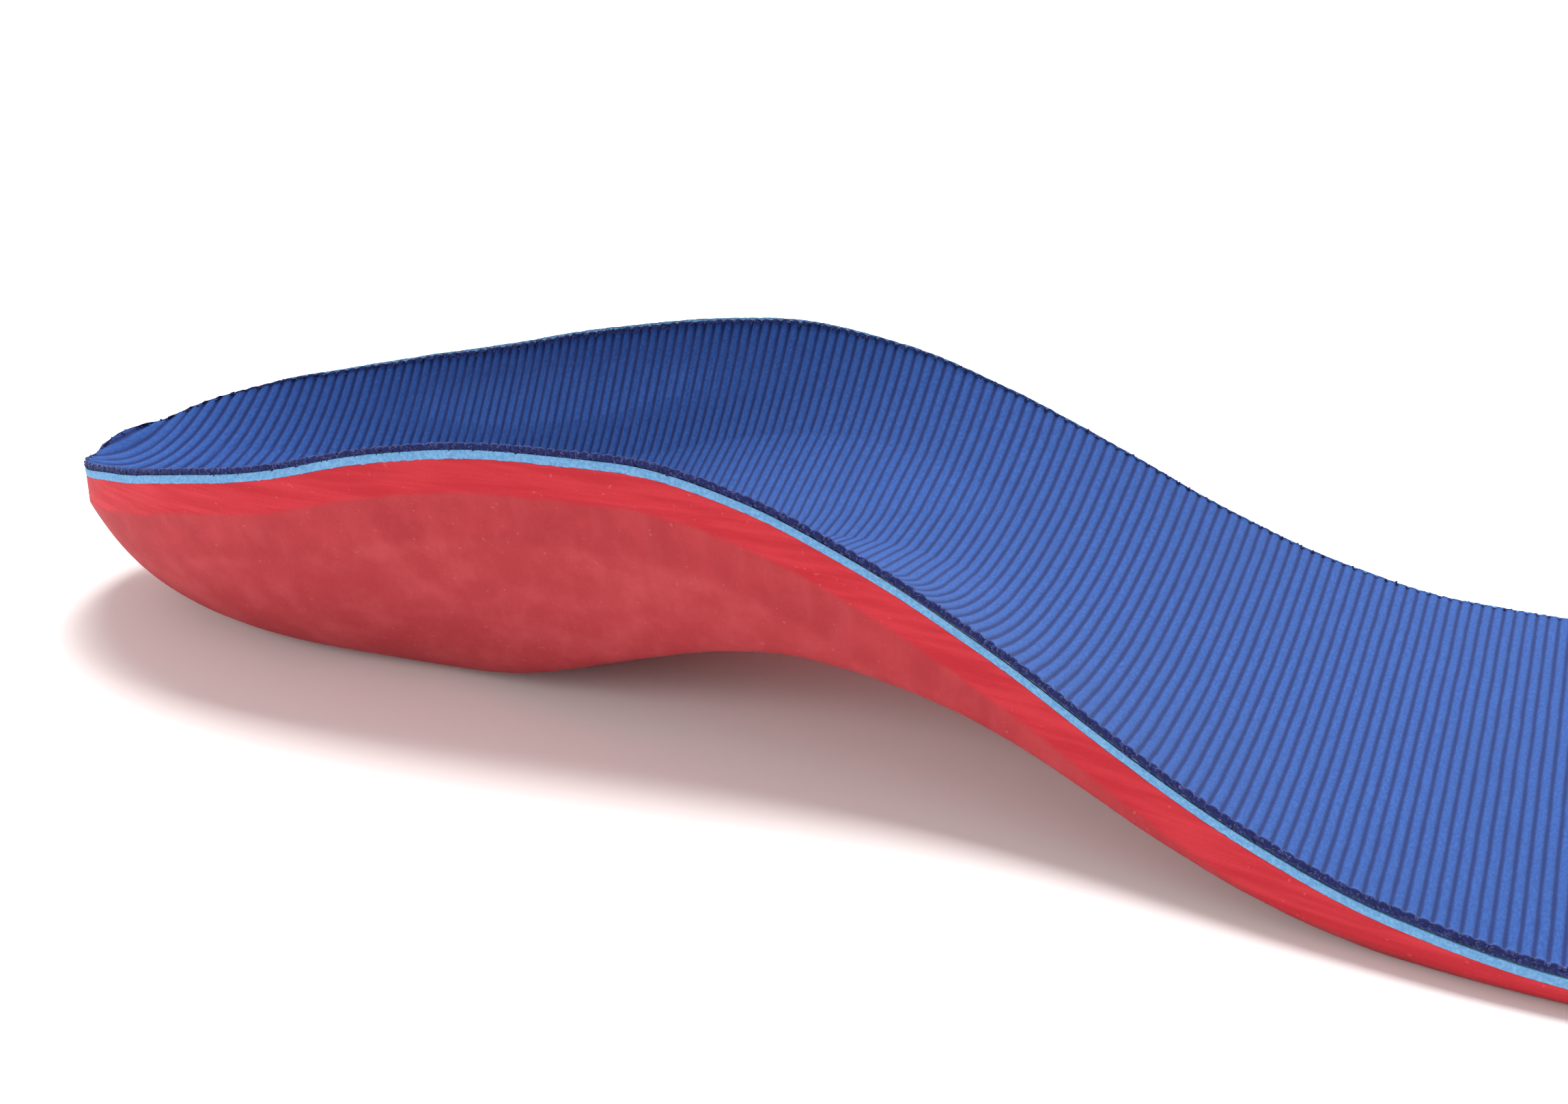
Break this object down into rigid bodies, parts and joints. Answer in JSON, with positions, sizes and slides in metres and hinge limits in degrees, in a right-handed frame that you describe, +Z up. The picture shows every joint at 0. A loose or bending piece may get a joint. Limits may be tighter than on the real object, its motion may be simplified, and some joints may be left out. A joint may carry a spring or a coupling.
{
  "type": "cushioned insole",
  "caption": "Full-length cushioned insole for a left foot: ribbed knit cover and thin foam bonded on a moulded foam base with a deep heel cup and a raised arch.",
  "frame": {"origin": "on the ground, under the centre of the heel seat, where the heel is widest", "axes": "+X from the heel to the toe, +Y to the outer side of the foot, +Z up"},
  "size_m": [0.27, 0.0861, 0.0382],
  "materials": {
    "base_foam": "matt closed-cell foam, red, with a freshly trimmed band under the rim",
    "bond_film": "thin clear-white adhesive film",
    "cushion_foam": "matt open-cell foam, light blue",
    "knit_cover": "ribbed knit, royal blue"
  },
  "bodies": {
    "root": {"base": "base_foam", "base_bond_film": "bond_film", "cushion_foam": "cushion_foam", "cover_bond_film": "bond_film", "top_cover": "knit_cover"}
  },
  "joints": []
}
